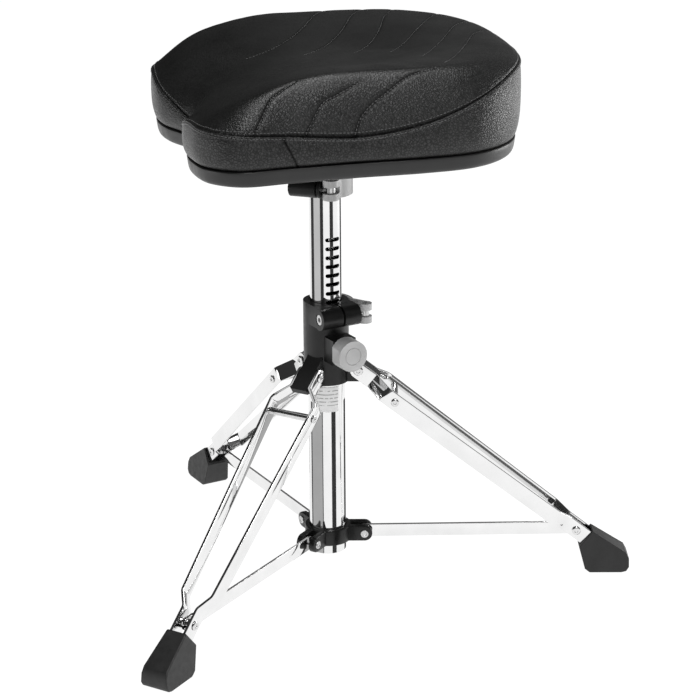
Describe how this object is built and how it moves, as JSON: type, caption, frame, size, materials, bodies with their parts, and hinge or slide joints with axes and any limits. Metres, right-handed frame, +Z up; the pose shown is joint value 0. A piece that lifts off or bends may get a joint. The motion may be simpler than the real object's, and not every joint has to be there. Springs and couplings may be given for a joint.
{
  "type": "drum throne",
  "caption": "Drummer's stool: black saddle seat on a height-adjustable chromed post, carried by a folding tripod of flat-strap legs with rubber feet.",
  "frame": {"origin": "middle of the bounding box at the floor, with the feet standing at z = 0", "axes": "+Z up along the post, +X from the post towards the leg whose foot is on the right, with the seat's front towards -X and turned 15 degrees"},
  "size_m": [0.5306, 0.606, 0.6111],
  "materials": {
    "chrome": "polished",
    "black_casting": "satin",
    "steel": "zinc plated",
    "black_plastic": "satin",
    "grey_plastic": "satin",
    "rubber": "matte",
    "leatherette": "pebble grained leatherette",
    "label": "blank printed label"
  },
  "bodies": {
    "frame": {"hub_body": "black_casting", "guide_bush": "black_plastic", "clamp_bolt": "steel", "cam_washer": "steel", "index_spring": "steel", "lower_tube": "chrome", "tube_plug": "black_plastic", "tube_label": "label", "hub_pin_a": "steel", "hub_pin_b": "steel", "hub_pin_c": "steel"},
    "clamp_lever_body": {"clamp_lever": "grey_plastic", "clamp_lever_pin": "steel"},
    "index_knob_body": {"index_knob": "grey_plastic", "index_pin": "steel"},
    "post": {"upper_tube": "chrome", "post_glide": "black_plastic"},
    "seat": {"seat_cushion": "leatherette", "seat_pan": "black_plastic", "seat_bracket": "black_casting", "seat_clamp_bolt": "steel", "seat_screw_1": "steel", "seat_screw_2": "steel", "seat_screw_3": "steel", "seat_screw_4": "steel"},
    "seat_lever_body": {"seat_lever": "grey_plastic", "seat_lever_pin": "steel"},
    "spider_body": {"spider": "black_casting", "spider_pin_a": "steel", "spider_pin_b": "steel", "spider_pin_c": "steel"},
    "strut_body_a": {"strut_a": "chrome"},
    "leg_body_a": {"strap_left_a": "chrome", "strap_right_a": "chrome", "spacer_rod_a": "chrome", "top_rivet_left_a": "steel", "top_rivet_right_a": "steel", "foot_rivet_a": "steel", "foot_a": "rubber"},
    "strut_body_b": {"strut_b": "chrome"},
    "leg_body_b": {"strap_left_b": "chrome", "strap_right_b": "chrome", "spacer_rod_b": "chrome", "top_rivet_left_b": "steel", "top_rivet_right_b": "steel", "foot_rivet_b": "steel", "foot_b": "rubber"},
    "strut_body_c": {"strut_c": "chrome"},
    "leg_body_c": {"strap_left_c": "chrome", "strap_right_c": "chrome", "spacer_rod_c": "chrome", "top_rivet_left_c": "steel", "top_rivet_right_c": "steel", "foot_rivet_c": "steel", "foot_c": "rubber"}
  },
  "joints": [
    {"name": "post_slide", "type": "slide", "parent": "frame", "child": "post", "axis": [0, 0, 1], "range_m": [-0.1, 0.07]},
    {"name": "seat_swivel", "type": "hinge", "parent": "post", "child": "seat", "pos_m": [-0.07507, 0, 0.463], "axis": [0, 0, 1], "continuous": true},
    {"name": "seat_lever_swing", "type": "hinge", "parent": "seat", "child": "seat_lever_body", "pos_m": [-0.06814, -0.03125, 0.45], "axis": [0, 0, -1], "range_deg": [0, 110]},
    {"name": "clamp_lever_swing", "type": "hinge", "parent": "frame", "child": "clamp_lever_body", "pos_m": [-0.03273, -0.01135, 0.3083], "axis": [0, 0, -1], "range_deg": [0, 110]},
    {"name": "knob_pull", "type": "slide", "parent": "frame", "child": "index_knob_body", "axis": [0.5, -0.866, 0], "range_m": [0, 0.008], "stiffness_N_per_m": 800},
    {"name": "fold", "type": "slide", "parent": "frame", "child": "spider_body", "axis": [0, 0, 1], "range_m": [0, 0.1224]},
    {"name": "strut_fold_a", "type": "hinge", "parent": "spider_body", "child": "strut_body_a", "pos_m": [-0.03377, 0, 0.0465], "axis": [0, 1, 0], "range_deg": [0, 87.1]},
    {"name": "leg_fold_a", "type": "hinge", "parent": "strut_body_a", "child": "leg_body_a", "pos_m": [0.20493, 0, 0.049], "axis": [0, -1, 0], "range_deg": [0, 39.3]},
    {"name": "strut_fold_b", "type": "hinge", "parent": "spider_body", "child": "strut_body_b", "pos_m": [-0.09572, -0.03577, 0.0465], "axis": [0.866, -0.5, 0], "range_deg": [0, 87.1]},
    {"name": "leg_fold_b", "type": "hinge", "parent": "strut_body_b", "child": "leg_body_b", "pos_m": [-0.21507, -0.24249, 0.049], "axis": [-0.866, 0.5, 0], "range_deg": [0, 39.3]},
    {"name": "strut_fold_c", "type": "hinge", "parent": "spider_body", "child": "strut_body_c", "pos_m": [-0.09572, 0.03577, 0.0465], "axis": [-0.866, -0.5, 0], "range_deg": [0, 87.1]},
    {"name": "leg_fold_c", "type": "hinge", "parent": "strut_body_c", "child": "leg_body_c", "pos_m": [-0.21507, 0.24249, 0.049], "axis": [0.866, 0.5, 0], "range_deg": [0, 39.3]}
  ],
  "couplings": [
    {"joint": "strut_fold_a", "follows": "fold", "rad_per_m": 12.39},
    {"joint": "leg_fold_a", "follows": "fold", "rad_per_m": 5.568},
    {"joint": "strut_fold_b", "follows": "fold", "rad_per_m": 12.39},
    {"joint": "leg_fold_b", "follows": "fold", "rad_per_m": 5.568},
    {"joint": "strut_fold_c", "follows": "fold", "rad_per_m": 12.39},
    {"joint": "leg_fold_c", "follows": "fold", "rad_per_m": 5.568}
  ]
}
